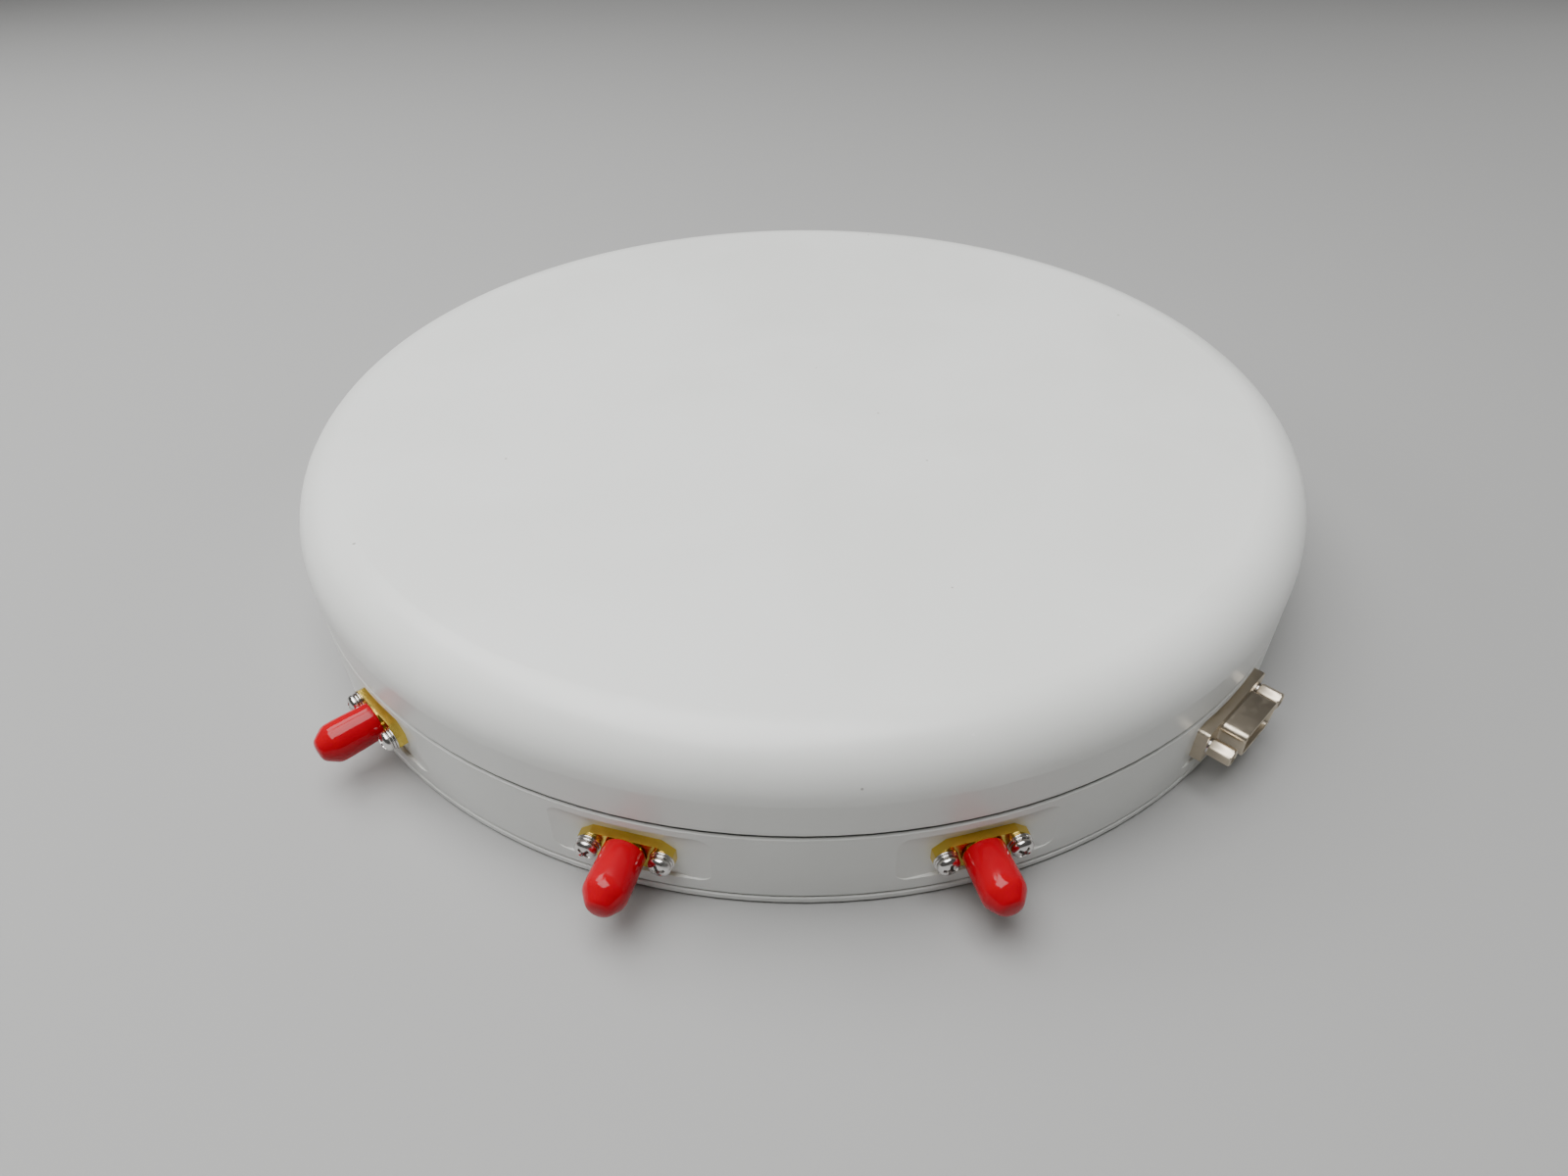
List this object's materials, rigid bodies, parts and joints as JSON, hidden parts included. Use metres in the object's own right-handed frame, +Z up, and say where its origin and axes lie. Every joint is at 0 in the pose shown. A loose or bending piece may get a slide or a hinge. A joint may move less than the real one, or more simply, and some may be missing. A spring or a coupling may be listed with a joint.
{
  "type": "radar dome antenna",
  "caption": "Flat round radome antenna on a low base ring, with flanged coaxial jacks under red pull-off dust caps and a small multiway connector on its edge.",
  "frame": {"origin": "centre of the flat bottom face, on the axis of the disc", "axes": "+Z up through the radome; -Y is the front, midway between the middle and right jacks; +X is to the right seen from the front"},
  "size_m": [0.21, 0.2179, 0.0338],
  "materials": {
    "white_cap": "satin off-white",
    "white_paint": "satin off-white",
    "rubber": "matte black",
    "steel": "bright",
    "brass": "bright",
    "gold": "polished gold plate",
    "board": "green solder resist",
    "ceramic": "matte",
    "silver_foil": "silvered",
    "nylon": "natural",
    "white_insulator": "waxy white",
    "copper": "tinned copper",
    "red_vinyl": "glossy red",
    "nickel": "warm nickel plate",
    "black_plastic": "black",
    "wire_cover": "blue"
  },
  "bodies": {
    "base": {"radome": "white_cap", "base_housing": "white_paint", "bottom_plate": "white_paint", "radome_seal": "rubber", "bottom_seal": "rubber", "radome_screws": "steel", "radome_inserts": "brass", "plate_screws": "steel", "mount_inserts": "steel", "ground_board": "board", "ground_screws": "steel", "lower_patches": "ceramic", "lower_foils": "silver_foil", "upper_patches": "ceramic", "upper_foils": "silver_foil", "feed_pins": "gold", "patch_screws": "nylon", "amplifier_boards": "board", "amplifier_covers": "steel", "amplifier_spacers": "brass", "link_pins": "gold", "control_board": "board", "control_chips": "black_plastic", "control_spacers": "brass", "control_screws": "steel", "coax_sockets": "gold", "coax_jumpers": "copper", "jack_left": "gold", "jack_middle": "gold", "jack_right": "gold", "jack_insulators": "white_insulator", "jack_contacts": "gold", "jack_screws": "steel", "jack_spring_washers": "steel", "jack_flat_washers": "steel", "plug_shell": "nickel", "plug_insulator": "black_plastic", "plug_contacts": "gold", "plug_posts": "nickel", "plug_post_washers": "steel", "plug_wires": "wire_cover", "plug_socket": "black_plastic"},
    "cap_left": {"cap_left": "red_vinyl"},
    "cap_middle": {"cap_middle": "red_vinyl"},
    "cap_right": {"cap_right": "red_vinyl"}
  },
  "joints": [
    {"name": "cap_left_pull", "type": "slide", "parent": "base", "child": "cap_left", "axis": [-0.7126, -0.7015, 0], "range_m": [0, 0.035]},
    {"name": "cap_middle_pull", "type": "slide", "parent": "base", "child": "cap_middle", "axis": [-0.2613, -0.9652, 0], "range_m": [0, 0.035]},
    {"name": "cap_right_pull", "type": "slide", "parent": "base", "child": "cap_right", "axis": [0.2613, -0.9652, 0], "range_m": [0, 0.035]}
  ]
}
